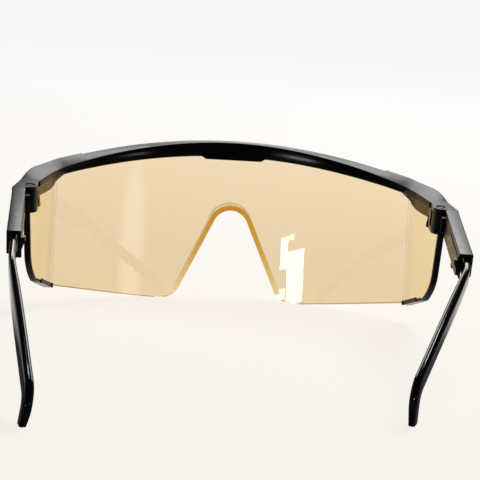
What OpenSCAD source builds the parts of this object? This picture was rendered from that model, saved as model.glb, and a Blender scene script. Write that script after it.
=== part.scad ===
// Wrap-around safety goggles with a one-piece tinted lens and two folding temples.
// Millimetres, +Z up, front of the lens towards -Y, wearer's left towards +X.
// The goggles stand as on a table: lens bottom and both temple tips on Z = 0.

/* [Lens] */

// Radius of the lens's rear surface, seen from above.
lens_radius = 99; // [94:1:106]
// Thickness of the lens sheet.
lens_thick = 1.8; // [1.5:0.1:2.1]
// Half width at which the lens turns the corner into its side wing.
crease_half = 62.4; // [60:0.2:64]
// Angle of a side wing to the straight-back direction.
wing_angle = 18.6; // [16:0.2:21]
// Forward lean of the lens.
lens_lean = 8.5; // [7:0.5:10]
// Distance from the hinge line forward to the middle of the lens.
lens_reach = 35.4; // [33:0.2:37]
// Radius of the lens's bottom edge, seen from the front.
bottom_radius = 240; // [215:5:320]
// Half width of the stretch where the bottom edge rests on the table.
rest_half = 27.5; // [26:0.5:30]
// Radius of the lens's rear lower corner, seen from the side.
corner_radius = 14; // [11:0.5:17]
// Rise of a wing's lower edge towards the rear.
wing_rise = 23; // [20:0.5:26]
// Height by which a wing's lower edge cuts off the round corner.
corner_cut = 1.2; // [0.6:0.1:1.6]

/* [Nose opening] */

// Height of the top of the nose flange.
nose_top = 34.9; // [32:0.1:36]
// Radius of the round top of the nose flange.
nose_radius = 8.2; // [7.5:0.1:9]
// Splay of each side of the nose opening from upright.
nose_splay = 24.5; // [22:0.5:26]
// Radius of the lens's lower corners beside the nose.
nose_corner = 6; // [4:0.5:7]
// Thickness of the nose flange.
nose_wall = 1.8; // [1.5:0.1:2.2]
// How far the nose flange stands back from the lens.
nose_depth = 5.8; // [4:0.2:7]

/* [Brow] */

// Height of the brow's lower edge at the middle, along the leaning lens.
brow_low = 51.9; // [50:0.1:53]
// Height of the brow at its rear face.
brow_height = 5.1; // [4.6:0.1:5.6]
// Extra height of the front lip over the rear face.
brow_rise = 0.9; // [0.6:0.1:1.4]
// Radius of the brow's lower edge, seen from the front.
brow_radius = 192; // [185:1:205]
// Thickness of the brow behind the lens.
brow_back = 2.5; // [2:0.1:3]
// Thickness of the front lip over the lens.
lip_wall = 1.0; // [0.8:0.1:1.4]
// Thickness of the brow's roof over the lens slot.
roof_wall = 1.4; // [1.2:0.1:1.6]
// How far the lens's top edge stands up inside the brow at the middle.
lens_hidden = 2.8; // [2:0.1:3]
// Half width of the pad at the middle of the brow.
pad_half = 10; // [8:0.5:12]

/* [Hood over the hinge] */

// Reach of the hood outside the lens.
hood_reach = 5.9; // [5.3:0.1:6.2]
// Thickness of the brow behind the lens near the hinge.
hood_back = 1.1; // [1:0.1:1.4]
// Thickness of the hood's outer wall.
hood_wall = 1.3; // [1.1:0.1:1.5]
// Drop of the hood's outer wall below its roof beside the hinge pin.
hood_skirt = 4.6; // [4:0.1:5.4]
// Step up of the hood's outer edge above the brow, where the hood begins.
hood_step = 0.5; // [0.3:0.05:0.6]
// Drop of the hood's outer wall below the brow's lower edge at the lens's corner.
corner_drop = 3.3; // [2.6:0.1:3.8]

/* [Hinge] */

// Height of the hinge's top above the table.
hinge_top = 44.1; // [43.6:0.1:44.6]
// Backward lean of the hinge line, which is also the drop of the temples.
hinge_lean = 9.4; // [8.5:0.1:10.5]
// Distance from the lens's rear surface out to the pin's centre.
pin_inset = 0.55; // [0.3:0.05:0.8]
// Diameter of the hinge pin.
pin_diameter = 2; // [1.8:0.1:2.2]
// Diameter of the pin's sunk head.
pin_head = 3.3; // [3:0.1:3.6]
// Radius of the hinge eyes.
eye_radius = 2.5; // [2.4:0.1:2.7]
// Thickness of the frame's upper hinge eye.
upper_eye = 1.6; // [1.5:0.1:1.8]
// Thickness of the frame's lower hinge eye.
lower_eye = 1.7; // [1.5:0.1:2]
// Height of the sleeve's eye between them.
middle_eye = 5.6; // [5:0.1:6]

/* [Temple sleeve] */

// Length of a sleeve from hinge pin to mouth.
sleeve_length = 43.6; // [40:0.2:47]
// Distance from the pin's centre out to a sleeve's inner face.
sleeve_in = 1.3; // [1.2:0.1:1.5]
// Inward slant of a sleeve.
sleeve_slant = 4.6; // [3.5:0.1:5.5]
// Width of the channel inside a sleeve.
channel_width = 2.2; // [2:0.1:2.4]
// Thickness of a sleeve's side walls.
sleeve_wall = 1.1; // [0.9:0.1:1.3]
// Thickness of a sleeve's top.
sleeve_roof = 1.3; // [1.1:0.1:1.5]
// Height of a sleeve's outer wall.
outer_height = 7.5; // [7:0.1:8]
// Height of a sleeve's inner wall.
inner_height = 8.3; // [8:0.1:8.8]
// Spacing of the length notches.
notch_pitch = 2.4; // [2:0.1:2.8]
// Number of teeth between the notches.
teeth = 4; // [3:1:5]
// Radius of a tooth.
tooth_radius = 0.5; // [0.4:0.05:0.6]

/* [Temple arms] */

// Notches by which the wearer's left arm is pulled out.
left_notches = 4; // [0:1:4]
// Inward bend of the wearer's left arm just behind its sleeve.
left_bend = 6.9; // [4:0.1:12]
// Inward bend of the wearer's right arm just behind its sleeve.
right_bend = 18.8; // [12:0.1:20]
// Outward lean of the wearer's left ear hook.
left_hook_lean = 12; // [4:1:18]
// Outward lean of the wearer's right ear hook.
right_hook_lean = 2; // [0:1:16]
// Downward bend of both arms just behind their sleeves.
arm_drop = 12.6; // [10.6:0.2:13.6]
// Length of arm from the kink behind the sleeve to the ear bend.
arm_run = 58.5; // [55:0.5:62]
// Angle of the ear bend.
ear_bend = 83; // [70:1:88]
// Radius of the ear bend's centre line.
ear_radius = 5.2; // [4.6:0.2:8]
// Thickness of an arm halfway.
arm_thick = 2.6; // [2.2:0.1:2.8]
// Thickness of an arm at its tip.
tip_thick = 1.8; // [1.6:0.1:2.2]
// Height of an arm at the ear bend.
arm_height = 4.8; // [4.4:0.2:6]
// Height of the tongue inside the sleeve.
tongue_height = 5.6; // [5:0.1:6]

/* [Fits] */

// Play of the lens in the frame.
lens_play = 0.1; // [0.05:0.05:0.15]
// Gap between a hinge eye and the next one.
eye_gap = 0.1; // [0.08:0.02:0.2]
// Radial play of the sleeve's eye on the pin.
pin_play = 0.05; // [0.02:0.01:0.08]
// Radial squeeze of the pin in the frame's eyes.
pin_squeeze = 0.01; // [0.005:0.005:0.02]
// Gap between the frame's end and the open sleeve.
stop_gap = 0.15; // [0.1:0.05:0.25]
// Play of a tongue on each side in its sleeve.
tongue_play = 0.15; // [0.1:0.05:0.2]

/* [Hidden] */

$fn = 96;
black = [0.06, 0.06, 0.07];
amber = [0.92, 0.74, 0.45, 0.6];
steel = [0.6, 0.6, 0.62];
reach = 400;
facing = 0.02;

// Directions used by the leaning lens.
lean_cos = cos(lens_lean);
lean_sin = sin(lens_lean);
half_angle = asin(crease_half / lens_radius);
crease_back = lens_radius - lens_radius * cos(half_angle);
wing_dir = [sin(wing_angle), cos(wing_angle)];
wing_out = [cos(wing_angle), -sin(wing_angle)];
crease = [crease_half, crease_back];

// A point of the leaning lens frame in the standing frame, and its height back again.
function stand(p) = [p[0],
                     -lens_reach + p[1] * lean_cos - p[2] * lean_sin,
                     p[1] * lean_sin + p[2] * lean_cos];
function lens_back(y, z) = (y + lens_reach) * lean_cos + z * lean_sin;
function lens_high(y, z) = -(y + lens_reach) * lean_sin + z * lean_cos;
function mix(a, b, t) = a + (b - a) * t;
function clamp(t) = max(0, min(1, t));
function smooth(t) = clamp(t) * clamp(t) * (3 - 2 * clamp(t));

// Points of a round corner about a centre, from one angle to another.
function round_corner(centre, radius, from, to, steps) =
  [for (i = [0:steps]) let (a = from + (to - from) * i / steps)
   centre + radius * [cos(a), sin(a)]];

// Hinge frame: pin centre, with its own Z up along the leaning pin.
eyes_height = upper_eye + middle_eye + lower_eye + 2 * eye_gap;
pin_back = lens_back(0, hinge_top - eyes_height);
pin_x = crease_half + (pin_back - crease_back) * tan(wing_angle) + pin_inset;
upright_thick = 3;
upright_gap = 0.4;
block_back = eye_radius + upright_gap;
block_front = block_back + upright_thick;
block_outside = sleeve_in + 2 * sleeve_wall + channel_width;
hood_end = 2.6;
hood_skew = 13;
hood_lap = 1;
head_recess = 0.8;
head_thick = 0.45;
head_play = 0.05;

// Wing of the brow, from the crease back to the middle of the hinge block.
wing_stop = -block_front / 2;
wing_end = (lens_back(wing_stop, hinge_top) - crease_back) / cos(wing_angle);
end_top = hinge_top - wing_stop * tan(hinge_lean);
end_high = lens_high(wing_stop, end_top);
wall_end = 0.9;

/* Lens */

// Plan of all that lies behind a surface at a distance outside the lens's rear surface.
module behind_plan(out, depth) {
  function wing_x(y) = crease_half + out * cos(wing_angle)
    + (y - crease_back + out * sin(wing_angle)) * tan(wing_angle);
  intersection() {
    translate([0, lens_radius]) circle(r = lens_radius + out, $fn = 360);
    polygon([[wing_x(-20), -20], [wing_x(depth), depth],
             [-wing_x(depth), depth], [-wing_x(-20), -20]]);
  }
}

module in_lens_frame() {
  translate([0, -lens_reach, 0]) rotate([lens_lean, 0, 0]) children();
}

module wrap_sheet(near, far) {
  in_lens_frame() translate([0, 0, -20]) linear_extrude(90) difference() {
    behind_plan(far, 70);
    behind_plan(near, 75);
  }
}

rear_edge = 0.5;
under_steps = 20;
strip_width = 0.7;
strip_cover = 0.05;
claw_cover = 0.45;
claw_lap = 0.8;
claw_long = 8;
swing_gap = 0.3;
crease_low = crease_half * crease_half / 2 / bottom_radius
             - rest_half * rest_half / 2 / bottom_radius;
crease_edge = stand([0, crease_back, crease_low])[1];
corner = min(corner_radius, 0.9 * (rear_edge - crease_edge) / (1 - sin(wing_rise)));
corner_low = crease_low - corner_cut + (rear_edge - crease_edge) * tan(wing_rise);
corner_reach = corner * tan((90 - wing_rise) / 2);
round_centre = [rear_edge - corner, corner_low + corner_reach];

// Side outline of the lens: a wing's lower and rear edges, grown by a distance.
module side_outline(grow) {
  low = crease_low - grow / cos(wing_rise);
  intersection() {
    polygon(concat([[-90, -5], [crease_edge, -5], [crease_edge, low - corner_cut]],
                   round_corner(round_centre, corner + grow, wing_rise - 90, 0, under_steps),
                   [[rear_edge + grow, 80], [-90, 80]]));
    polygon([[-95, -10], [crease_edge, -10], [crease_edge, low],
             [10, low + (10 - crease_edge) * tan(wing_rise)], [10, 85], [-95, 85]]);
  }
}

module along_x() {
  rotate([90, 0, 90]) linear_extrude(reach, center = true) children();
}

lens_top = brow_low + lens_hidden;
crease_hidden = 0.8;
crease_drop = crease_half * crease_half / 2 / brow_radius + lens_hidden - crease_hidden;
top_radius = crease_half * crease_half / 2 / crease_drop;

wing_gap = 0.25;
wing_top = end_top - roof_wall - wing_gap;
crease_stand = stand([0, crease_back, lens_top - crease_drop]);
wing_corner = [crease_stand[1], crease_stand[2] + 0.05];

module lens_blank(grow) {
  intersection() {
    wrap_sheet(-grow, lens_thick + grow);
    in_lens_frame() translate([0, 0, lens_top - top_radius]) rotate([90, 0, 0])
      cylinder(r = top_radius + grow, h = reach, center = true, $fn = 360);
    translate([0, 0, bottom_radius - rest_half * rest_half / 2 / bottom_radius])
      rotate([90, 0, 0])
      cylinder(r = bottom_radius + grow, h = reach, center = true, $fn = 360);
    along_x() side_outline(grow);
    along_x() polygon([[-90, 0], [30, 0], [30, wing_top - 4], [wing_stop, wing_top],
                       wing_corner, [wing_corner[0], 80], [-90, 80]]);
  }
}

nose_centre = nose_top - nose_radius;
nose_steps = 28;
flange_low = 3;
flange_full = 22;
flange_start = 2;
flange_slope = 3;
corner_steps = 4;

// Front outline of the nose flange, shrunk by a distance, with round lower corners outside it.
module nose_outline(shrink, rounding) {
  over = round_corner([0, nose_centre], nose_radius - shrink, nose_splay, 180 - nose_splay,
                      nose_steps);
  leg = over[0][0] + (over[0][1] - rounding) * tan(nose_splay);
  foot = round_corner([leg + rounding / cos(nose_splay), rounding], rounding,
                      268, 180 + nose_splay, corner_steps * 2);
  other_foot = [for (i = [len(foot) - 1:-1:0]) [-foot[i][0], foot[i][1]]];
  polygon(concat([[foot[0][0], -5]], foot, over, other_foot, [[-foot[0][0], -5]]));
}

module nose_run(from, to) {
  translate([0, -lens_reach + to, 0]) rotate([90, 0, 0])
    linear_extrude(to - from) children();
}

module lens() {
  color(amber) placed() difference() {
    union() {
      lens_blank(0);
      intersection() {
        nose_run(-20, 20) nose_outline(0, 1);
        flange_space();
      }
    }
    nose_run(-30, 30) nose_outline(nose_wall, nose_corner);
    for (side = [0, 1]) mirror([side, 0, 0]) hinge_frame() block_space(0.2);
  }
}

// Space that the nose flange may fill, fading towards its lower ends.
module flange_space() {
  intersection() {
    in_lens_frame() translate([0, 0, -20]) linear_extrude(90)
      intersection() {
        translate([0, lens_radius]) circle(r = lens_radius + lens_thick / 2, $fn = 360);
        translate([-30, -5]) square([60, 40]);
      }
    along_x() polygon([[-60, flange_low], [flange_start - lens_reach, flange_low],
                       [nose_depth - flange_slope - lens_reach, flange_full],
                       [nose_depth - flange_slope - lens_reach - 1, 40], [-60, 40]]);
  }
}

/* Frame */

function heading(a) = [sin(a), -cos(a)];
function arc_point(a) = [lens_radius * sin(a), lens_radius - lens_radius * cos(a)];
crease_turn = 90 - wing_angle - half_angle;
fan = 10;
brow_edge = 0.6;
foot_edge = 0.3;
crease_wall = 1.9;
rear_bow = 0.78;
arc_steps = 24;
wing_steps = 10;
hood_mark = 20;
step_run = 0.25;
gusset_mark = 22;
hood_bow = 1.2;
gusset_bow = 0.75;
gusset_foot = 0.2;
level_from = 0.7;
level_run = 0.2;

function fall(x, radius) = x * x / 2 / radius;
low_crease = brow_low - fall(crease_half, brow_radius);
lip_reach = lens_thick + lens_play + lip_wall;
top_crease = brow_low + brow_height - fall(crease_half, brow_radius * rear_bow);
lip_crease = brow_low + brow_height + brow_rise - fall(crease_half + lip_reach, brow_radius);

// One cross-section of the brow: rear wall, roof, outer wall, open below.
function brow_ring(back, out, wall, low, top, lip, skirt) =
  let (slope = (lip - top) / (out + back), tilt = atan(slope), r = brow_edge, f = foot_edge,
       drop = r / cos(tilt),
       rear = [r - back, top + slope * r - drop],
       front = [out - r, lip - slope * r - drop],
       under_in = top + slope * (back - lens_play) - roof_wall,
       under_out = lip - slope * wall - roof_wall)
  concat(round_corner([f - back, low + f], f, 270, 180, 2),
         round_corner(rear, r, 180, 90 + tilt, corner_steps),
         round_corner(front, r, 90 + tilt, 0, corner_steps),
         round_corner([out - f, skirt + f], f, 360, 270, 2),
         [[out - wall, skirt], [out - wall, under_out],
          [-lens_play, under_in], [-lens_play, low]]);

brow_ends = [[0, 1, 2, 3, 18, 19], [3, 4, 5, 6, 7, 18], [7, 8, 17, 18],
             [8, 9, 10, 11, 12, 17], [12, 13, 14, 15, 16, 17]];

function place_ring(ring, point, out) =
  [for (q = ring) [point[0] + q[0] * out[0], point[1] + q[0] * out[1], q[1]]];

// Ring of the brow at a mark along the lens's arc. The hood begins with a step at its mark,
// and the outer wall starts to run down to the hinge block at the gusset's mark.
function arc_ring(mark) =
  let (a = half_angle * mark / arc_steps, x = lens_radius * sin(a), part = mark / arc_steps,
       low = brow_low - fall(x, brow_radius),
       step = mark < hood_mark ? 0 : hood_step,
       gusset = corner_drop * clamp((mark - gusset_mark) / (arc_steps - gusset_mark)))
  place_ring(brow_ring(mix(brow_back, crease_wall, smooth(part)), lip_reach, lip_wall, low,
                       brow_low + brow_height - fall(x, brow_radius * rear_bow),
                       brow_low + brow_height + brow_rise + step
                       - fall(x * (1 + lip_reach / lens_radius), brow_radius),
                       low - gusset),
             arc_point(a),
             heading(a + crease_turn / 2 * smooth(1 - (half_angle - a) / fan * 1.7)));

function wing_ring(w) =
  let (t = w / wing_end)
  brow_ring(mix(crease_wall, hood_back, smooth(w / fan * 2)),
            mix(lip_reach, hood_reach, smooth(w / fan * 1.1)),
            mix(lip_wall, hood_wall, smooth(t)),
            mix(low_crease, end_high - roof_wall - wall_end, t),
            mix(top_crease, end_high, t),
            mix(lip_crease, end_high, pow(t, hood_bow))
            + hood_step * (1 - smooth((t - level_from) / level_run)),
            mix(low_crease - corner_drop, end_high - eyes_height + gusset_foot,
                pow(t, gusset_bow)));

// The rings fan out round the crease, so that the hood's outer edge turns softly.
function wing_place(w) =
  place_ring(wing_ring(w), crease + w * wing_dir,
             heading(90 - wing_angle - crease_turn / 2 * smooth(1 - w / fan)));

function flip(ring) = [for (q = ring) [-q[0], q[1], q[2]]];

half_rings = concat([for (i = [1:hood_mark - 1]) arc_ring(i)], [arc_ring(hood_mark - step_run)],
                    [for (i = [hood_mark:arc_steps - 1]) arc_ring(i)],
                    [for (i = [0:wing_steps]) wing_place(wing_end * i / wing_steps)]);
last = len(half_rings) - 1;
brow_rings = concat([for (i = [last:-1:0]) flip(half_rings[i])], [arc_ring(0)], half_rings);

// Closed skin over rings of equal corner count, with its end faces given as corner lists.
module loft(rings, ends) {
  n = len(rings[0]);
  m = len(rings);
  sides = [for (k = [0:m - 2], i = [0:n - 1]) let (j = (i + 1) % n)
           each [[k * n + j, k * n + i, (k + 1) * n + j],
                 [(k + 1) * n + j, k * n + i, (k + 1) * n + i]]];
  front = ends;
  back = [for (face = ends) [for (i = [len(face) - 1:-1:0]) (m - 1) * n + face[i]]];
  polyhedron([for (ring = rings) each ring], concat(front, back, sides), convexity = 8);
}

module hinge_frame() {
  translate([pin_x, 0, hinge_top]) rotate([-hinge_lean, 0, 0]) children();
}

// Outline of an eye that reaches forward to the hinge block.
module eye_plan() {
  circle(r = eye_radius);
  translate([-eye_radius, -block_front]) square([2 * eye_radius, block_front]);
}

module block_space(grow) {
  translate([-eye_radius - grow - 1, -block_front - grow, -eyes_height - grow])
    cube([block_outside + eye_radius + 2 * grow + 1, 40, eyes_height + 10]);
}

// Sweeps a profile along the hood's outer wall, from the block's front to a distance behind
// the pin. The profile's X runs inward from the wall's outer face.
module along_hood(rear) {
  intersection() {
    translate([block_outside, hood_end, 0]) rotate([90, 0, -hood_skew])
      linear_extrude(60, center = true) children();
    translate([-eye_radius, -block_front, -30]) cube([30, block_front + rear, 60]);
  }
}

hood_corner = round_corner([-brow_edge, -brow_edge], brow_edge, 0, 90, corner_steps);

module hinge_block() {
  difference() {
    union() {
      // Roof and outer wall of the hood, over the front of the sleeve.
      along_hood(hood_end)
        polygon(concat([[-hood_wall, -hood_skirt], [0, -hood_skirt]], hood_corner,
                       [[-block_outside, 0], [-block_outside, -upper_eye],
                        [-hood_wall, -upper_eye]]));
      // Upright in front of the sleeve's eye.
      along_hood(-block_back)
        polygon(concat([[-30, -eyes_height], [0, -eyes_height]], hood_corner, [[-30, 0]]));
      // Upper and lower eye.
      for (z = [-upper_eye, -eyes_height]) translate([0, 0, z])
        linear_extrude(z == -upper_eye ? upper_eye : lower_eye) eye_plan();
    }
    translate([0, 0, -eyes_height - 1])
      cylinder(d = pin_diameter - 2 * pin_squeeze, h = eyes_height + 2);
    translate([0, 0, -head_recess]) cylinder(d = pin_head + 2 * head_play, h = 2);
  }
}

// Band along the rear and lower edge of a lens wing, between two distances from its edge.
module edge_band(near, far, out, in) {
  intersection() {
    wrap_sheet(near, far);
    translate([crease_half - 1, -50, 0]) cube([reach, 100, hinge_top]);
    along_x() difference() {
      side_outline(out);
      side_outline(in);
    }
  }
}

// Strip behind the rear and lower edge of the lens wing. Near the crease it turns into a claw
// that grips both faces of the lens.
module side_strip() {
  difference() {
    union() {
      edge_band(-strip_cover, lens_thick + strip_cover, strip_width, -0.2);
      intersection() {
        edge_band(-claw_cover, lens_thick + claw_cover, strip_width, -claw_lap);
        along_x() translate([crease_edge - 5, 0]) square([5 + claw_long, 60]);
      }
    }
    lens_blank(lens_play);
    hinge_frame() translate([-20, -20, -inner_height - swing_gap]) cube([40, 60, 40]);
  }
}

// Pad behind the middle of the brow.
pad_lift = 0.9;
pad_drop = 1.3;
pad_slope = 2.5;
pad_tall = 3;

module brow_pad() {
  wide = pad_half + pad_slope;
  intersection() {
    wrap_sheet(-brow_back - pad_lift, -lens_play - 0.06);
    in_lens_frame() translate([0, 20, brow_low - pad_drop]) rotate([90, 0, 0])
      linear_extrude(40)
      polygon([[-pad_half, 0], [pad_half, 0], [wide, pad_tall / 2], [wide, pad_tall],
               [-wide, pad_tall], [-wide, pad_tall / 2]]);
  }
}

module brow_frame() {
  color(black) placed() {
    difference() {
      in_lens_frame() loft(brow_rings, brow_ends);
      for (side = [0, 1]) mirror([side, 0, 0]) hinge_frame()
        translate([-20, hood_lap - block_front, -30]) cube([40, 40, 60]);
    }
    brow_pad();
    for (side = [0, 1]) mirror([side, 0, 0]) {
      hinge_frame() hinge_block();
      side_strip();
    }
  }
}

/* Hinge pins */

module hinge_pin() {
  hinge_frame() {
    translate([0, 0, -eyes_height]) cylinder(d = pin_diameter, h = eyes_height - 0.1);
    translate([0, 0, facing - head_recess]) cylinder(d = pin_head, h = head_thick);
  }
}

module left_hinge_pin() {
  color(steel) placed() hinge_pin();
}

module right_hinge_pin() {
  color(steel) placed() mirror([1, 0, 0]) hinge_pin();
}

/* Temple sleeves */

channel_in = sleeve_in + sleeve_wall;
channel_out = channel_in + channel_width;
sleeve_out = channel_out + sleeve_wall;
sleeve_edge = 0.45;
front_corner = 1.2;
slot_height = 0.9;
slot_length = 23;
bulb_radius = 1.2;
bulb_long = 2.8;
bulb_slant = 3.2;
bulb_foot = 0.4;
tooth_first = sleeve_length - 2 * bulb_radius - notch_pitch * (teeth + 0.2);

module sleeve_frame() {
  hinge_frame() rotate(sleeve_slant) children();
}

// Cross-section of a sleeve: a channel open below, its outer edges rounded.
module sleeve_section() {
  top = sleeve_edge;
  foot = foot_edge;
  polygon(concat([[channel_out, -sleeve_roof], [channel_out, -outer_height]],
                 round_corner([sleeve_out - foot, foot - outer_height], foot, 270, 360, 2),
                 round_corner([sleeve_out - top, -top], top, 0, 90, corner_steps),
                 round_corner([sleeve_in + top, -top], top, 90, 180, corner_steps),
                 [[sleeve_in, -inner_height], [channel_in, -inner_height],
                  [channel_in, -sleeve_roof]]));
}

// Space in front of a sleeve's channel, with a round corner at the channel's inner side.
module sleeve_front() {
  cut = hood_end + stop_gap;
  side = sleeve_in - cut * tan(sleeve_slant);
  round_start = [side + front_corner, cut + front_corner];
  translate([0, 0, -30]) linear_extrude(60)
    polygon(concat([[-20, -20], [20, -20], [20, cut]],
                   round_corner(round_start, front_corner, 270, 180, corner_steps),
                   [[side - 0.2, cut + front_corner], [-20, cut + front_corner]]));
}

module temple_sleeve() {
  difference() {
    union() {
      // Channel, cut square to the frame's end.
      difference() {
        sleeve_frame() translate([0, sleeve_length, 0]) rotate([90, 0, 0])
          linear_extrude(sleeve_length) sleeve_section();
        hinge_frame() sleeve_front();
      }
      // Eye between the frame's eyes and its web to the inner wall.
      hinge_frame() translate([0, 0, -upper_eye - eye_gap - middle_eye]) {
        cylinder(r = eye_radius, h = middle_eye);
        rotate(sleeve_slant) cube([channel_in, eye_radius + 4, middle_eye]);
      }
      // Round end of the inner wall, which slants towards the channel at its foot.
      sleeve_frame() translate([channel_in - bulb_radius, sleeve_length - bulb_radius,
                                -inner_height])
        cylinder(r = bulb_radius, h = inner_height - sleeve_roof - slot_height);
      // Teeth under the inner wall.
      for (i = [0:teeth - 1])
        sleeve_frame() translate([sleeve_in, tooth_first + notch_pitch * i, -inner_height])
          rotate([0, 90, 0]) cylinder(r = tooth_radius, h = sleeve_wall, $fn = 32);
    }
    sleeve_frame() translate([0, sleeve_length + 1, 0]) rotate([90, 0, 0])
      linear_extrude(1 + bulb_long)
      polygon([[-3, -bulb_slant], [channel_in - 2 * bulb_radius, -bulb_slant],
               [channel_in - bulb_foot, -inner_height], [channel_in - bulb_foot, -15], [-3, -15]]);
    // Slot that frees the inner wall as a spring.
    sleeve_frame() translate([-5, sleeve_length - slot_length, -sleeve_roof - slot_height])
      cube([5 + channel_in, slot_length + 5, slot_height]);
    hinge_frame() translate([0, 0, -20])
      cylinder(r = pin_diameter / 2 + pin_play, h = 40);
  }
}

module left_temple_sleeve() {
  color(black) placed() temple_sleeve();
}

module right_temple_sleeve() {
  color(black) placed() mirror([1, 0, 0]) temple_sleeve();
}

/* Temple arms */

tongue_inside = 36;
tongue_top = -sleeve_roof - tongue_play;
tongue_thick = channel_width - 2 * tongue_play;
tongue_mid = [channel_in + channel_width / 2, tongue_top - tongue_height / 2];
kink_length = 6;
kink_start = 3;
twist_run = 40;
thin_run = 20;
tip_run = 18;
tip_tall = 0.85;
pawl_long = 2.4;
pawl_thick = 1;
pawl_play = 0.1;

// Frame of an arm at a length along it: direction, upward side, outer side.
function arm_frame(s, bend, lean) =
  let (k = clamp(s / kink_length), yaw = bend * k, pitch = arm_drop * k,
       tilt = lean * smooth(s / twist_run),
       ear = ear_bend * clamp((s - arm_run) / ear_length),
       d0 = [-cos(pitch) * sin(yaw), cos(pitch) * cos(yaw), -sin(pitch)],
       u0 = [-sin(pitch) * sin(yaw), sin(pitch) * cos(yaw), cos(pitch)],
       w0 = [cos(yaw), sin(yaw), 0],
       u1 = u0 * cos(tilt) - w0 * sin(tilt),
       w1 = w0 * cos(tilt) + u0 * sin(tilt))
  [d0 * cos(ear) - u1 * sin(ear), u1 * cos(ear) + d0 * sin(ear), w1];

ear_length = ear_radius * ear_bend * PI / 180;
ear_end = arm_run + ear_length;
stations = concat([for (i = [0:7]) kink_length * i / 8],
                  [for (i = [0:13]) mix(kink_length, arm_run, i / 14)],
                  [for (i = [0:12]) arm_run + ear_length * i / 12]);
count = len(stations);

function arm_points(start, bend, lean) =
  [for (i = 0, p = start; i < count;
        p = i + 1 < count
            ? p + (stations[i + 1] - stations[i])
              * arm_frame((stations[i] + stations[i + 1]) / 2, bend, lean)[0]
            : p,
        i = i + 1) p];

// Height above the hinge top, standing, of a point given in the sleeve's frame.
function sleeve_up(v) = v[2] * cos(hinge_lean)
  - (v[1] * cos(sleeve_slant) + v[0] * sin(sleeve_slant)) * sin(hinge_lean);

function arm_thickness(s) =
  s < arm_run ? mix(tongue_thick, arm_thick, smooth(s / thin_run))
              : mix(arm_thick, tip_thick, smooth((s - arm_run) / tip_run));

function arm_tall(s) = mix(tongue_height, arm_height, smooth(s / arm_run))
                       * mix(1, tip_tall, smooth((s - arm_run) / tip_run));

// Rounded cross-section, upright in its own plane.
function arm_ring(p, f, thick, tall) =
  let (r = thick * 0.36, a = thick / 2 - r, b = tall / 2 - r)
  [for (q = concat(round_corner([a, b], r, 0, 90, corner_steps),
                   round_corner([-a, b], r, 90, 180, corner_steps),
                   round_corner([-a, -b], r, 180, 270, corner_steps),
                   round_corner([a, -b], r, 270, 360, corner_steps)))
   p + q[0] * f[2] + q[1] * f[1]];

// The same ring run down along a direction to the table.
function foot_ring(ring, d) =
  [for (p = ring) p - d * (hinge_top + sleeve_up(p)) / sleeve_up(d)];

function arm_rings(out, bend, lean) =
  let (kink = [tongue_mid[0], sleeve_length + kink_start + out, tongue_mid[1]],
       path = arm_points(kink, bend, lean), end = arm_frame(ear_end, bend, lean))
  concat([arm_ring(kink - [0, kink_start + tongue_inside, 0], arm_frame(0, bend, lean),
                   tongue_thick, tongue_height)],
         [for (i = [0:count - 1]) arm_ring(path[i], arm_frame(stations[i], bend, lean),
                                           arm_thickness(stations[i]), arm_tall(stations[i]))],
         [foot_ring(arm_ring(path[count - 1], end, tip_thick,
                             arm_tall(arm_run + tip_run)), end[0])]);

left_rings = arm_rings(left_notches * notch_pitch, left_bend, left_hook_lean);
right_rings = arm_rings(0, right_bend, right_hook_lean);

// Distance behind the hinge line of a point given in the sleeve's frame.
function sleeve_rear(v) = v[2] * sin(hinge_lean)
  + (v[1] * cos(sleeve_slant) + v[0] * sin(sleeve_slant)) * cos(hinge_lean);

// The origin lies under the middle of the whole length.
front_most = stand([0, -lip_reach, brow_low + brow_height + brow_rise - brow_edge])[1];
rear_most = max([for (ring = concat(left_rings, right_rings), v = ring) sleeve_rear(v)]);
shift = -(front_most + rear_most) / 2;

module placed() {
  translate([0, shift, 0]) children();
}

module temple_arm(rings, out) {
  sleeve_frame() {
    loft([for (i = [len(rings) - 1:-1:0]) rings[i]], [[for (i = [0:len(rings[0]) - 1]) i]]);
    pawl(out);
  }
}

// Foot of the tongue that hooks under the inner wall, with a nib between two teeth.
module pawl(out) {
  middle = tooth_first - notch_pitch / 2 + out;
  top = -inner_height - tooth_radius - pawl_play;
  tongue_foot = tongue_top - tongue_height;
  translate([channel_in + tongue_play, middle - pawl_long / 2, top - pawl_thick])
    cube([tongue_thick, pawl_long, tongue_foot - top + pawl_thick + 0.5]);
  translate([sleeve_in, middle - pawl_long / 2, top - pawl_thick])
    cube([channel_in - sleeve_in + tongue_play + 0.5, pawl_long, pawl_thick]);
}

module left_temple_arm() {
  color(black) placed() temple_arm(left_rings, left_notches * notch_pitch);
}

module right_temple_arm() {
  color(black) placed() mirror([1, 0, 0]) temple_arm(right_rings, 0);
}

brow_frame();
lens();
left_hinge_pin();
right_hinge_pin();
left_temple_sleeve();
right_temple_sleeve();
left_temple_arm();
right_temple_arm();
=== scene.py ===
import math

import bmesh
import bpy
from mathutils import Matrix, Vector


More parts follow.
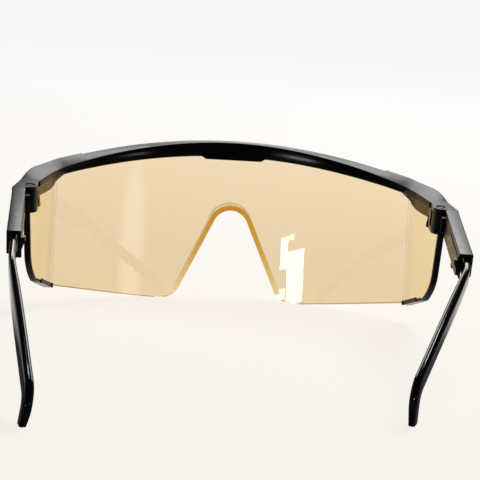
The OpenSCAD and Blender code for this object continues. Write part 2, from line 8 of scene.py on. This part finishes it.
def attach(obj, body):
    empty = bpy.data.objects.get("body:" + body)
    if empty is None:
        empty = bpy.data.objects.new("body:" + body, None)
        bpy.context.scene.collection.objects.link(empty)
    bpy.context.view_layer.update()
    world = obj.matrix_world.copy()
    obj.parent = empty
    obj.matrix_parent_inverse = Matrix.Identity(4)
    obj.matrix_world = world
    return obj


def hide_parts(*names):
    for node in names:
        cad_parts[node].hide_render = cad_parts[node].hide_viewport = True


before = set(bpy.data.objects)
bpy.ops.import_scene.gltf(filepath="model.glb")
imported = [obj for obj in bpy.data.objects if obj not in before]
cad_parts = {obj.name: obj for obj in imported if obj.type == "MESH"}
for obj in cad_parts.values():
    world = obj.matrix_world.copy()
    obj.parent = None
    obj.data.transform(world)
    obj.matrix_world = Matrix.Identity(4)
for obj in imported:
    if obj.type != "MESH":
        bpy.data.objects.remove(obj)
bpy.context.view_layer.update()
scene = bpy.context.scene
scene.view_settings.view_transform = "Standard"

# Camera. It stands on the wearer's side of the goggles, a hand's breadth above the table,
# with a long lens, and is held a little askew.
camera_place = Vector((0.0248, 0.3980, 0.1151))
camera_yaw = math.radians(3.53)
camera_pitch = math.radians(11.25)
camera_roll = math.radians(3.7)
camera_lens = 97.98
sensor_width = 36
near_clip = 0.01

forward = Vector((-math.sin(camera_yaw) * math.cos(camera_pitch),
                  -math.cos(camera_yaw) * math.cos(camera_pitch),
                  -math.sin(camera_pitch)))
level = Vector((-math.cos(camera_yaw), math.sin(camera_yaw), 0))
upward = level.cross(forward)
right = math.cos(camera_roll) * level + math.sin(camera_roll) * upward
top = -math.sin(camera_roll) * level + math.cos(camera_roll) * upward
camera_data = bpy.data.cameras.new("camera")
camera_data.lens = camera_lens
camera_data.sensor_width = sensor_width
camera_data.clip_start = near_clip
camera = bpy.data.objects.new("camera", camera_data)
camera.matrix_world = (Matrix.Translation(camera_place)
                       @ Matrix((right, top, -forward)).transposed().to_4x4())
scene.collection.objects.link(camera)
scene.camera = camera

# Table. It is a pale cloth, drawn as a plain floor that runs to the horizon. It keeps the
# soft shadow of the goggles, and glows to the eye so that it reads as white. The glossy
# black mirrors that glow mostly under the lens, and more faintly beyond.
floor_reach = 90.0
floor_colour = (0.20, 0.195, 0.20, 1)
near_tint = (0.965, 0.915, 0.86, 1)
far_tint = (1.02, 1.02, 1.005, 1)
pale_from = 0.1
pale_to = 1.0
floor_glow = 0.885
mirror_glow = 0.85
mirror_from = 0.05
mirror_to = -0.35
mirror_stops = ((0.14, 0.0), (0.26, 1.0), (0.36, 1.0), (0.48, 0.30))
mix_first = 6
mix_second = 7
mix_result = 2


def connect(tree, *pairs):
    """Links between sockets, each given as its source and its target."""
    for source, target in pairs:
        tree.links.new(source, target)


def new_material(name):
    """A material with its node tree and its main shader."""
    material = bpy.data.materials.new(name)
    material.use_nodes = True
    return material, material.node_tree, material.node_tree.nodes["Principled BSDF"]


def add_node(tree, kind, **values):
    """A shader node with its inputs set by name, spaces written as underscores."""
    made = tree.nodes.new(kind)
    for key, value in values.items():
        made.inputs[key.replace("_", " ")].default_value = value
    return made


def add_maths(tree, operation, second=None, third=None, kind="ShaderNodeMath"):
    """A maths node. Its second and third values are set where they are fixed."""
    made = tree.nodes.new(kind)
    made.operation = operation
    for index, value in ((1, second), (2, third)):
        if value is not None:
            made.inputs[index].default_value = value
    return made


def add_vector_maths(tree, operation, second=None):
    """A maths node for vectors. Its second vector is set where it is fixed."""
    return add_maths(tree, operation, second, kind="ShaderNodeVectorMath")


def add_colour_mix(tree, first=None, second=None):
    """A mix of two colours. One that isn't given is linked."""
    made = tree.nodes.new("ShaderNodeMix")
    made.data_type = "RGBA"
    for index, colour in ((mix_first, first), (mix_second, second)):
        if colour is not None:
            made.inputs[index].default_value = colour
    return made


def add_grey_ramp(tree, stops):
    """A ramp of greys, from rising pairs of a position and a brightness."""
    made = tree.nodes.new("ShaderNodeValToRGB")
    marks = made.color_ramp.elements
    for index, (position, shade) in enumerate(stops):
        mark = marks[index] if index < 2 else marks.new(position)
        mark.position = position
        mark.color = (shade, shade, shade, 1)
    return made


def seen_by_eye(tree, path):
    """A mask of what the camera sees, straight or through the lens."""
    seen = add_maths(tree, "MAXIMUM")
    connect(tree, (path.outputs["Is Camera Ray"], seen.inputs[0]),
            (path.outputs["Is Transmission Ray"], seen.inputs[1]))
    return seen.outputs[0]


def cloth_tint(tree, place):
    """The cloth's tint, warm near the goggles and paler with distance."""
    away = add_vector_maths(tree, "LENGTH")
    paling = add_node(tree, "ShaderNodeMapRange", From_Min=pale_from, From_Max=pale_to)
    tint = add_colour_mix(tree, near_tint, far_tint)
    connect(tree, (place.outputs["Object"], away.inputs[0]),
            (away.outputs["Value"], paling.inputs["Value"]),
            (paling.outputs["Result"], tint.inputs[0]))
    return tint.outputs[mix_result]


def cloth_in_mirrors(tree, place, path):
    """The cloth's glow in what mirrors it, by its place along the goggles."""
    split = add_node(tree, "ShaderNodeSeparateXYZ")
    span = add_node(tree, "ShaderNodeMapRange", From_Min=mirror_from, From_Max=mirror_to)
    far = add_grey_ramp(tree, mirror_stops)
    bounced = add_maths(tree, "SUBTRACT")
    bounced.use_clamp = True
    reach = add_maths(tree, "MULTIPLY", mirror_glow)
    mirrored = add_maths(tree, "MULTIPLY")
    connect(tree, (place.outputs["Object"], split.inputs[0]),
            (split.outputs["Y"], span.inputs["Value"]),
            (span.outputs["Result"], far.inputs["Fac"]),
            (path.outputs["Is Glossy Ray"], bounced.inputs[0]),
            (path.outputs["Is Transmission Ray"], bounced.inputs[1]),
            (bounced.outputs[0], reach.inputs[0]),
            (far.outputs["Color"], mirrored.inputs[0]),
            (reach.outputs[0], mirrored.inputs[1]))
    return mirrored.outputs[0]


def pale_cloth():
    """The matt cloth of the table, with its glow to the eye and to what mirrors it."""
    material, tree, shader = new_material("pale_cloth")
    shader.inputs["Base Color"].default_value = floor_colour
    shader.inputs["Roughness"].default_value = 1.0
    shader.inputs["Specular IOR Level"].default_value = 0.0
    place = add_node(tree, "ShaderNodeTexCoord")
    path = add_node(tree, "ShaderNodeLightPath")
    glow = add_maths(tree, "MULTIPLY_ADD", floor_glow)
    connect(tree, (seen_by_eye(tree, path), glow.inputs[0]),
            (cloth_in_mirrors(tree, place, path), glow.inputs[2]),
            (cloth_tint(tree, place), shader.inputs["Emission Color"]),
            (glow.outputs[0], shader.inputs["Emission Strength"]))
    return material


floor_mesh = bpy.data.meshes.new("table_floor")
floor_mesh.from_pydata([(-floor_reach, -floor_reach, 0), (floor_reach, -floor_reach, 0),
                        (floor_reach, floor_reach, 0), (-floor_reach, floor_reach, 0)],
                       [], [(0, 1, 2, 3)])
floor_mesh.materials.append(pale_cloth())
floor = bpy.data.objects.new("table_floor", floor_mesh)
scene.collection.objects.link(floor)

# Daylight. The eye sees a plain pale backdrop. What the glossy pieces mirror is a bright low
# sky beyond the goggles, dim walls at their sides, a dark ceiling and room, a soft box over
# the brow, and a door and a window behind the camera that show in the curved lens.
sky_bright = (1.25, 1.25, 1.26, 1)
sky_dim = (0.025, 0.025, 0.027, 1)
sky_seen = (0.94, 0.94, 0.93, 1)
sky_from = -0.35
sky_to = -0.7
sky_top = 0.68
sky_full = 0.54
sky_sides = ((0.29, 0.0), (0.36, 1.0), (0.50, 0.75), (0.56, 0.45), (0.62, 0.0), (0.75, 0.0),
             (0.84, 0.9))
door_bright = 2.0
door_place = (-0.86, 0.115, 0.0)
door_shape = (1.0, 1.7, 0.0)
door_reach = 0.20
door_full = 0.07
wall_bright = 0.22
wall_from = 0.80
wall_full = 0.95
box_middle = -0.02
box_height = 0.20
box_wide = 0.24
window_away = 1.5
window_bright = 13


def add_two_tones(tree, low, high):
    """A ramp from one colour to another."""
    made = tree.nodes.new("ShaderNodeValToRGB")
    made.color_ramp.elements[0].color = low
    made.color_ramp.elements[1].color = high
    return made


def low_sky(tree, split):
    """The bright sky low beyond the goggles, uneven from side to side, in a dark room."""
    ahead = add_node(tree, "ShaderNodeMapRange", From_Min=sky_from, From_Max=sky_to)
    low = add_node(tree, "ShaderNodeMapRange", From_Min=sky_top, From_Max=sky_full)
    for soft in (ahead, low):
        soft.interpolation_type = "SMOOTHSTEP"
    band = add_maths(tree, "MULTIPLY")
    spread = add_node(tree, "ShaderNodeMapRange", From_Min=-1.0, From_Max=1.0)
    side = add_grey_ramp(tree, sky_sides)
    patch = add_maths(tree, "MULTIPLY")
    sky = add_two_tones(tree, sky_dim, sky_bright)
    connect(tree, (split.outputs["Y"], ahead.inputs["Value"]),
            (split.outputs["Z"], low.inputs["Value"]),
            (ahead.outputs["Result"], band.inputs[0]),
            (low.outputs["Result"], band.inputs[1]),
            (split.outputs["X"], spread.inputs["Value"]),
            (spread.outputs["Result"], side.inputs["Fac"]),
            (band.outputs[0], patch.inputs[0]),
            (side.outputs["Color"], patch.inputs[1]),
            (patch.outputs[0], sky.inputs["Fac"]))
    return sky.outputs["Color"]


def open_door(tree, split):
    """The brightness of a door behind the camera, as a soft oval."""
    across = add_maths(tree, "DIVIDE")
    above = add_maths(tree, "DIVIDE")
    spot = add_node(tree, "ShaderNodeCombineXYZ")
    shaped = add_vector_maths(tree, "MULTIPLY", door_shape)
    apart = add_vector_maths(tree, "DISTANCE", door_place)
    door = add_node(tree, "ShaderNodeMapRange", From_Min=door_reach, From_Max=door_full,
                    To_Max=door_bright)
    door.interpolation_type = "SMOOTHSTEP"
    connect(tree, (split.outputs["X"], across.inputs[0]),
            (split.outputs["Y"], across.inputs[1]),
            (split.outputs["Z"], above.inputs[0]),
            (split.outputs["Y"], above.inputs[1]),
            (across.outputs[0], spot.inputs["X"]),
            (above.outputs[0], spot.inputs["Y"]),
            (spot.outputs[0], shaped.inputs[0]),
            (shaped.outputs[0], apart.inputs[0]),
            (apart.outputs["Value"], door.inputs["Value"]))
    return door.outputs["Result"]


def side_walls(tree, split):
    """The faint brightness of the walls at the goggles' sides."""
    sideways = add_maths(tree, "ABSOLUTE")
    wall = add_node(tree, "ShaderNodeMapRange", From_Min=wall_from, From_Max=wall_full,
                    To_Max=wall_bright)
    connect(tree, (split.outputs["X"], sideways.inputs[0]),
            (sideways.outputs[0], wall.inputs["Value"]))
    return wall.outputs["Result"]


def pale_daylight():
    """The world round the goggles, worked out from the direction in which one looks."""
    world = bpy.data.worlds.new("daylight")
    world.use_nodes = True
    tree = world.node_tree
    direction = add_node(tree, "ShaderNodeTexCoord")
    split = add_node(tree, "ShaderNodeSeparateXYZ")
    path = add_node(tree, "ShaderNodeLightPath")
    glints = add_maths(tree, "ADD")
    mirrored = add_vector_maths(tree, "ADD")
    shown = add_colour_mix(tree, second=sky_seen)
    connect(tree, (direction.outputs["Generated"], split.inputs[0]),
            (open_door(tree, split), glints.inputs[0]),
            (side_walls(tree, split), glints.inputs[1]),
            (low_sky(tree, split), mirrored.inputs[0]),
            (glints.outputs[0], mirrored.inputs[1]),
            (seen_by_eye(tree, path), shown.inputs[0]),
            (mirrored.outputs[0], shown.inputs[mix_first]),
            (shown.outputs[mix_result], tree.nodes["Background"].inputs["Color"]))
    return world


def add_lamp(name, place, aim, wide, tall, brightness, lights=False, shines=True):
    """A rectangular lamp that the camera doesn't see, of a brightness where 1 is white. It
    may light matt surfaces, shine in glossy ones, or do both."""
    data = bpy.data.lights.new(name, "AREA")
    data.shape = "RECTANGLE"
    data.size = wide
    data.size_y = tall
    data.energy = brightness * math.pi * wide * tall
    lamp = bpy.data.objects.new(name, data)
    turn = (Vector(aim) - Vector(place)).to_track_quat("-Z", "Y").to_matrix().to_4x4()
    lamp.matrix_world = Matrix.Translation(place) @ turn
    lamp.visible_camera = False
    lamp.visible_transmission = False
    lamp.visible_diffuse = lights
    lamp.visible_glossy = shines
    scene.collection.objects.link(lamp)


scene.world = pale_daylight()
for name, box_along, box_tall, box_bright in (("soft_box", -0.1975, 0.135, 5.6),
                                              ("soft_box_rim", -0.1165, 0.025, 2.5)):
    add_lamp(name, place=(box_middle, box_along, box_height), aim=(box_middle, box_along, 0.0),
             wide=box_wide, tall=box_tall, brightness=box_bright)
add_lamp("small_lamp", place=(-0.118, -0.41, 0.785), aim=(0.0, 0.04, 0.016),
         wide=0.03, tall=0.05, brightness=24)
add_lamp("room_light", place=(-0.5, -0.5, 0.9), aim=(0.0, 0.0, 0.0),
         wide=0.5, tall=0.5, brightness=9.0, lights=True, shines=False)
add_lamp("window", place=(0.646, window_away, 0.116), aim=(-0.02, -0.07, 0.01),
         wide=0.19, tall=0.09, brightness=window_bright)
add_lamp("window_neck", place=(0.507, window_away, 0.156), aim=(-0.02, -0.07, 0.02),
         wide=0.08, tall=0.05, brightness=window_bright)
add_lamp("window_top", place=(0.535, window_away, 0.181), aim=(-0.02, -0.07, 0.02),
         wide=0.13, tall=0.009, brightness=9)
add_lamp("window_foot", place=(0.49, window_away, 0.090), aim=(-0.02, -0.07, 0.01),
         wide=0.08, tall=0.018, brightness=window_bright)

# Brow frame. One black nylon moulding with a polished finish: the brow bar, the hoods over
# the hinges, the hinge eyes and the strips with claws that hold the lens's side wings. A
# fine moulded grain makes the hoods' upper faces duller.
nylon_index = 1.46
black_low = (0.001, 0.001, 0.001, 1)
black_high = (0.003, 0.0028, 0.0028, 1)
dust_colour = (0.16, 0.155, 0.15, 1)
patch_low = 0.35
patch_high = 0.65
ripple_depth = 0.00012
hood_start = 0.030
grain_fade = 0.004
grain_rough = 0.40
grain_slope = 0.45
grain_level = 0.7
weld_reach = 2e-6
flat_angle = math.radians(0.2)
bevel_margin = 8


def shared_speckle():
    """Dust and fine surface waviness, used by the plastics and the lens: two masks and a
    height."""
    group = bpy.data.node_groups.new("surface_life", "ShaderNodeTree")
    for name, kind in (("Dust Amount", "INPUT"), ("Patch Scale", "INPUT"),
                       ("Patches", "OUTPUT"), ("Dust", "OUTPUT"), ("Height", "OUTPUT")):
        group.interface.new_socket(name, in_out=kind, socket_type="NodeSocketFloat")
    entry = group.nodes.new("NodeGroupInput")
    leave = group.nodes.new("NodeGroupOutput")
    place = add_node(group, "ShaderNodeTexCoord")
    patches = add_node(group, "ShaderNodeTexNoise", Detail=5.0, Roughness=0.55)
    ripple = add_node(group, "ShaderNodeTexNoise", Scale=700.0, Detail=2.0)
    cells = add_node(group, "ShaderNodeTexVoronoi", Scale=420.0)
    near = add_maths(group, "LESS_THAN")
    spots = add_maths(group, "MULTIPLY")
    connect(group, (place.outputs["Object"], patches.inputs["Vector"]),
            (place.outputs["Object"], ripple.inputs["Vector"]),
            (place.outputs["Object"], cells.inputs["Vector"]),
            (entry.outputs["Patch Scale"], patches.inputs["Scale"]),
            (cells.outputs["Distance"], near.inputs[0]),
            (entry.outputs["Dust Amount"], near.inputs[1]),
            (near.outputs[0], spots.inputs[0]),
            (patches.outputs["Fac"], spots.inputs[1]),
            (patches.outputs["Fac"], leave.inputs["Patches"]),
            (spots.outputs[0], leave.inputs["Dust"]),
            (ripple.outputs["Fac"], leave.inputs["Height"]))
    return group


surface_life = shared_speckle()


def add_speckle(tree, dust, patch_scale):
    """The shared dust and waviness, at an amount and a scale of its own."""
    made = tree.nodes.new("ShaderNodeGroup")
    made.node_tree = surface_life
    made.inputs["Dust Amount"].default_value = dust
    made.inputs["Patch Scale"].default_value = patch_scale
    return made


def grained_above(tree, gloss, grain_from):
    """A roughness that is the gloss given, and duller on upper faces past grain_from."""
    place = add_node(tree, "ShaderNodeTexCoord")
    spot = add_node(tree, "ShaderNodeSeparateXYZ")
    facing = add_node(tree, "ShaderNodeSeparateXYZ")
    across = add_maths(tree, "ABSOLUTE")
    outer = add_node(tree, "ShaderNodeMapRange", From_Min=grain_from,
                     From_Max=grain_from + grain_fade)
    upper = add_node(tree, "ShaderNodeMapRange", From_Min=grain_slope, From_Max=grain_level)
    grained = add_maths(tree, "MULTIPLY")
    rough = add_node(tree, "ShaderNodeMix", B=grain_rough)
    connect(tree, (place.outputs["Object"], spot.inputs[0]),
            (place.outputs["Normal"], facing.inputs[0]),
            (spot.outputs["X"], across.inputs[0]),
            (across.outputs[0], outer.inputs["Value"]),
            (facing.outputs["Z"], upper.inputs["Value"]),
            (outer.outputs["Result"], grained.inputs[0]),
            (upper.outputs["Result"], grained.inputs[1]),
            (grained.outputs[0], rough.inputs["Factor"]),
            (gloss, rough.inputs["A"]))
    return rough.outputs["Result"]


def black_plastic(name, smooth, dull, patch_scale, dust, waves=0.05, grain_from=None):
    """Black nylon, uneven in gloss, with dust and fine waves. It may be grained past a
    distance from the middle."""
    material, tree, shader = new_material(name)
    shader.inputs["IOR"].default_value = nylon_index
    life = add_speckle(tree, dust, patch_scale)
    gloss = add_node(tree, "ShaderNodeMapRange", From_Min=patch_low, From_Max=patch_high,
                     To_Min=smooth, To_Max=dull)
    colour = add_colour_mix(tree, black_low, black_high)
    dusty = add_colour_mix(tree, second=dust_colour)
    bump = add_node(tree, "ShaderNodeBump", Strength=waves, Distance=ripple_depth)
    finish = gloss.outputs["Result"]
    if grain_from is not None:
        finish = grained_above(tree, finish, grain_from)
    connect(tree, (life.outputs["Patches"], gloss.inputs["Value"]),
            (life.outputs["Patches"], colour.inputs[0]),
            (colour.outputs[mix_result], dusty.inputs[mix_first]),
            (life.outputs["Dust"], dusty.inputs[0]),
            (dusty.outputs[mix_result], shader.inputs["Base Color"]),
            (finish, shader.inputs["Roughness"]),
            (life.outputs["Height"], bump.inputs["Height"]),
            (bump.outputs["Normal"], shader.inputs["Normal"]))
    return material


def welded(node):
    """A CAD solid's mesh with its loose triangles joined and flat faces made whole."""
    form = bmesh.new()
    form.from_mesh(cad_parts[node].data)
    bmesh.ops.remove_doubles(form, verts=form.verts, dist=weld_reach)
    bmesh.ops.dissolve_degenerate(form, dist=weld_reach, edges=form.edges)
    bmesh.ops.dissolve_limit(form, angle_limit=flat_angle, verts=form.verts, edges=form.edges)
    return form


def finish_piece(form, node, body, material, edge=0.0, crease=32):
    """A finished skin over a CAD solid, with its body. Edges sharper than the
    crease, in degrees, stay sharp, or are rounded to the edge width where one is given."""
    form.normal_update()
    for face in form.faces:
        face.smooth = True
    for line in form.edges:
        line.smooth = line.is_manifold and line.calc_face_angle() < math.radians(crease)
    name = node + "_skin"
    mesh = bpy.data.meshes.new(name)
    form.to_mesh(mesh)
    form.free()
    mesh.materials.append(material)
    piece = bpy.data.objects.new(name, mesh)
    scene.collection.objects.link(piece)
    if edge:
        bevel = piece.modifiers.new("edge", "BEVEL")
        bevel.width = edge
        bevel.segments = 2
        bevel.limit_method = "ANGLE"
        bevel.angle_limit = math.radians(crease + bevel_margin)
        bevel.use_clamp_overlap = True
        bevel.harden_normals = True
    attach(piece, body)
    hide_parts(node)


frame_black = black_plastic("frame_gloss_black", smooth=0.10, dull=0.20, patch_scale=60.0,
                            dust=0.055, grain_from=hood_start)
finish_piece(welded("brow_frame"), "brow_frame", "front", frame_black)

# Lens. One sheet of tinted polycarbonate, 1.8 mm thick, moulded with the nose flange, over
# which the frame is snapped. It is tinted through and through, so that it looks darkest where
# one looks along the sheet, and its lower edge is matt.
# Over the nose flange, painted shade in the surface colour adds to the darkening by the tint.
lens_radius = 0.099
lens_thick = 0.0018
lens_middle = -0.0689721
lens_lean = math.radians(8.5)
lean_cos = math.cos(lens_lean)
lean_sin = math.sin(lens_lean)
crease_half = 0.0624
strip_pitch = 0.002
cut_reach = 1e-6
sliver = 0.00003
snap_reach = 0.00015
lens_index = 1.5
tint_kept = (0.89, 0.69, 0.20, 1)
tint_depth = 430
haze_from = 0.4
haze_full = 0.7
haze_most = 0.035
# Painted shade: the lens's surface colour grows darker and warmer towards the bottom.
shade_bottom_colour = (0.93, 0.90, 0.86, 1)
shade_top_colour = (1, 0.985, 0.995, 1)
shade_height = 0.05
# Painted shade: a darker line along each crease of the lens, where the sheet bends to its
# wings.
crease_shade_colour = (0.78, 0.75, 0.70, 1)
crease_shade_half = 0.00018
# Painted shade: a darker, golden tone over the nose flange, where one looks along the sheet.
flange_shade_colour = (0.84, 0.93, 0.62, 1)
flange_half = 0.04
flange_start = 0.0003
flange_full = 0.0010
edge_matt = 0.7
edge_slope = 0.6
edge_flat = 0.85
foot_height = 0.009


def round_lens():
    """The lens's mesh, cut into narrow strips whose corners lie on the true cylinder. The
    sheet leans about lens_middle, where its inner face would meet the table halfway across."""
    form = welded("lens")
    strips = int(crease_half / strip_pitch)
    for step in range(-strips, strips + 1):
        bmesh.ops.bisect_plane(form, geom=form.verts[:] + form.edges[:] + form.faces[:],
                               dist=cut_reach, plane_co=(step * strip_pitch, 0, 0),
                               plane_no=(1, 0, 0))
    bmesh.ops.remove_doubles(form, verts=form.verts, dist=sliver)
    bmesh.ops.dissolve_degenerate(form, dist=sliver / 3, edges=form.edges)
    for corner in form.verts:
        run = corner.co.y - lens_middle
        back = run * lean_cos + corner.co.z * lean_sin
        high = corner.co.z * lean_cos - run * lean_sin
        reach = math.hypot(corner.co.x, back - lens_radius)
        for radius in (lens_radius, lens_radius + lens_thick):
            if abs(reach - radius) < snap_reach and abs(corner.co.x) < crease_half:
                across = corner.co.x * radius / reach
                back = lens_radius + (back - lens_radius) * radius / reach
                corner.co = (across, lens_middle + back * lean_cos - high * lean_sin,
                             back * lean_sin + high * lean_cos)
    return form


def flange_mask(tree, place, across):
    """A mask of the nose flange, which lies inside the cylinder of the sheet."""
    upright = add_node(tree, "ShaderNodeMapping", Rotation=(-lens_lean, 0, 0),
                       Location=(0, -lens_middle * lean_cos - lens_radius,
                                 lens_middle * lean_sin))
    flat = add_vector_maths(tree, "MULTIPLY", (1, 1, 0))
    reach = add_vector_maths(tree, "LENGTH")
    inside = add_node(tree, "ShaderNodeMapRange", From_Min=lens_radius - flange_start,
                      From_Max=lens_radius - flange_full)
    middle = add_maths(tree, "LESS_THAN", flange_half)
    flange = add_maths(tree, "MULTIPLY")
    connect(tree, (place.outputs["Object"], upright.inputs["Vector"]),
            (upright.outputs["Vector"], flat.inputs[0]),
            (flat.outputs[0], reach.inputs[0]),
            (reach.outputs["Value"], inside.inputs["Value"]),
            (across, middle.inputs[0]),
            (middle.outputs[0], flange.inputs[0]),
            (inside.outputs["Result"], flange.inputs[1]))
    return flange.outputs[0]


def lens_colour(tree, place, split):
    """The surface's faint colour, and painted shade: darker below, a darker line at each
    crease, a golden flange.
    """
    height = add_node(tree, "ShaderNodeMapRange", From_Max=shade_height)
    height_shade = add_colour_mix(tree, shade_bottom_colour, shade_top_colour)
    across = add_maths(tree, "ABSOLUTE")
    at_bend = add_maths(tree, "COMPARE", crease_half, crease_shade_half)
    crease_shade = add_colour_mix(tree, second=crease_shade_colour)
    flange_shade = add_colour_mix(tree, second=flange_shade_colour)
    connect(tree, (split.outputs["Z"], height.inputs["Value"]),
            (height.outputs["Result"], height_shade.inputs[0]),
            (split.outputs["X"], across.inputs[0]),
            (across.outputs[0], at_bend.inputs[0]),
            (at_bend.outputs[0], crease_shade.inputs[0]),
            (height_shade.outputs[mix_result], crease_shade.inputs[mix_first]),
            (flange_mask(tree, place, across.outputs[0]), flange_shade.inputs[0]),
            (crease_shade.outputs[mix_result], flange_shade.inputs[mix_first]))
    return flange_shade.outputs[mix_result]


def lens_roughness(tree, place, split):
    """A trace of haze in patches, and a matt lower edge, seen from outside or inside."""
    life = add_speckle(tree, dust=0.03, patch_scale=25.0)
    haze = add_node(tree, "ShaderNodeMapRange", From_Min=haze_from, From_Max=haze_full,
                    To_Max=haze_most)
    facing = add_node(tree, "ShaderNodeSeparateXYZ")
    slope = add_maths(tree, "ABSOLUTE")
    beneath = add_node(tree, "ShaderNodeMapRange", From_Min=edge_slope, From_Max=edge_flat,
                       To_Max=edge_matt)
    foot = add_maths(tree, "LESS_THAN", foot_height)
    lower = add_maths(tree, "MULTIPLY")
    matt = add_maths(tree, "MAXIMUM")
    connect(tree, (life.outputs["Patches"], haze.inputs["Value"]),
            (place.outputs["Normal"], facing.inputs[0]),
            (facing.outputs["Z"], slope.inputs[0]),
            (slope.outputs[0], beneath.inputs["Value"]),
            (split.outputs["Z"], foot.inputs[0]),
            (beneath.outputs["Result"], lower.inputs[0]),
            (foot.outputs[0], lower.inputs[1]),
            (haze.outputs["Result"], matt.inputs[0]),
            (lower.outputs[0], matt.inputs[1]))
    return matt.outputs[0]


def tinted_lens():
    """Clear glass with the tint inside it. Its shadow falls clear, as the thin sheet's does."""
    material, tree, shader = new_material("tinted_lens")
    shader.inputs["IOR"].default_value = lens_index
    shader.inputs["Transmission Weight"].default_value = 1.0
    place = add_node(tree, "ShaderNodeTexCoord")
    split = add_node(tree, "ShaderNodeSeparateXYZ")
    absorb = add_node(tree, "ShaderNodeVolumeAbsorption", Color=tint_kept, Density=tint_depth)
    clear = add_node(tree, "ShaderNodeBsdfTransparent")
    choose = add_node(tree, "ShaderNodeMixShader")
    path = add_node(tree, "ShaderNodeLightPath")
    output = tree.nodes["Material Output"]
    connect(tree, (place.outputs["Object"], split.inputs[0]),
            (lens_colour(tree, place, split), shader.inputs["Base Color"]),
            (lens_roughness(tree, place, split), shader.inputs["Roughness"]),
            (path.outputs["Is Shadow Ray"], choose.inputs[0]),
            (shader.outputs[0], choose.inputs[1]),
            (clear.outputs[0], choose.inputs[2]),
            (choose.outputs[0], output.inputs["Surface"]),
            (absorb.outputs[0], output.inputs["Volume"]))
    return material


finish_piece(round_lens(), "lens", "front", tinted_lens(), crease=25)

# Hinge pins. Turned steel pins, blackened and pressed into the frame, with flat heads that
# lie flush in the upper eyes.
pin_edge = 0.0001
pin_dark = (0.012, 0.012, 0.013, 1)
pin_pale = (0.04, 0.038, 0.036, 1)
pin_smooth = 0.28
pin_dull = 0.5
both_sides = ("left", "right")


def blackened_steel():
    """Dark steel, with the fine marks of turning in its colour and sheen."""
    material, tree, shader = new_material("blackened_steel")
    shader.inputs["Metallic"].default_value = 1.0
    turned = add_node(tree, "ShaderNodeTexNoise", Scale=1500.0, Detail=3.0)
    sheen = add_node(tree, "ShaderNodeMapRange", To_Min=pin_smooth, To_Max=pin_dull)
    shade = add_two_tones(tree, pin_dark, pin_pale)
    connect(tree, (turned.outputs["Fac"], sheen.inputs["Value"]),
            (sheen.outputs["Result"], shader.inputs["Roughness"]),
            (turned.outputs["Fac"], shade.inputs["Fac"]),
            (shade.outputs["Color"], shader.inputs["Base Color"]))
    return material


pin_steel = blackened_steel()
for side in both_sides:
    node = side + "_hinge_pin"
    finish_piece(welded(node), node, "front", pin_steel, edge=pin_edge)

# Temple sleeves. Black nylon channels that swing on the pins, open below, with the teeth for
# the length setting on a sprung inner wall.
sleeve_edge = 0.0001
sleeve_black = black_plastic("sleeve_satin_black", smooth=0.26, dull=0.36, patch_scale=75.0,
                             dust=0.05)
for side in both_sides:
    node = side + "_temple_sleeve"
    finish_piece(welded(node), node, side + "_sleeve", sleeve_black,
                 edge=sleeve_edge)

# Temple arms. Black nylon, softly rounded and polished, flat in the tongue that slides in the
# sleeve, and bent down behind the ear.
arm_black = black_plastic("arm_gloss_black", smooth=0.06, dull=0.11, patch_scale=50.0,
                          dust=0.045, waves=0.01)
for side in both_sides:
    node = side + "_temple_arm"
    finish_piece(welded(node), node, side + "_arm", arm_black)
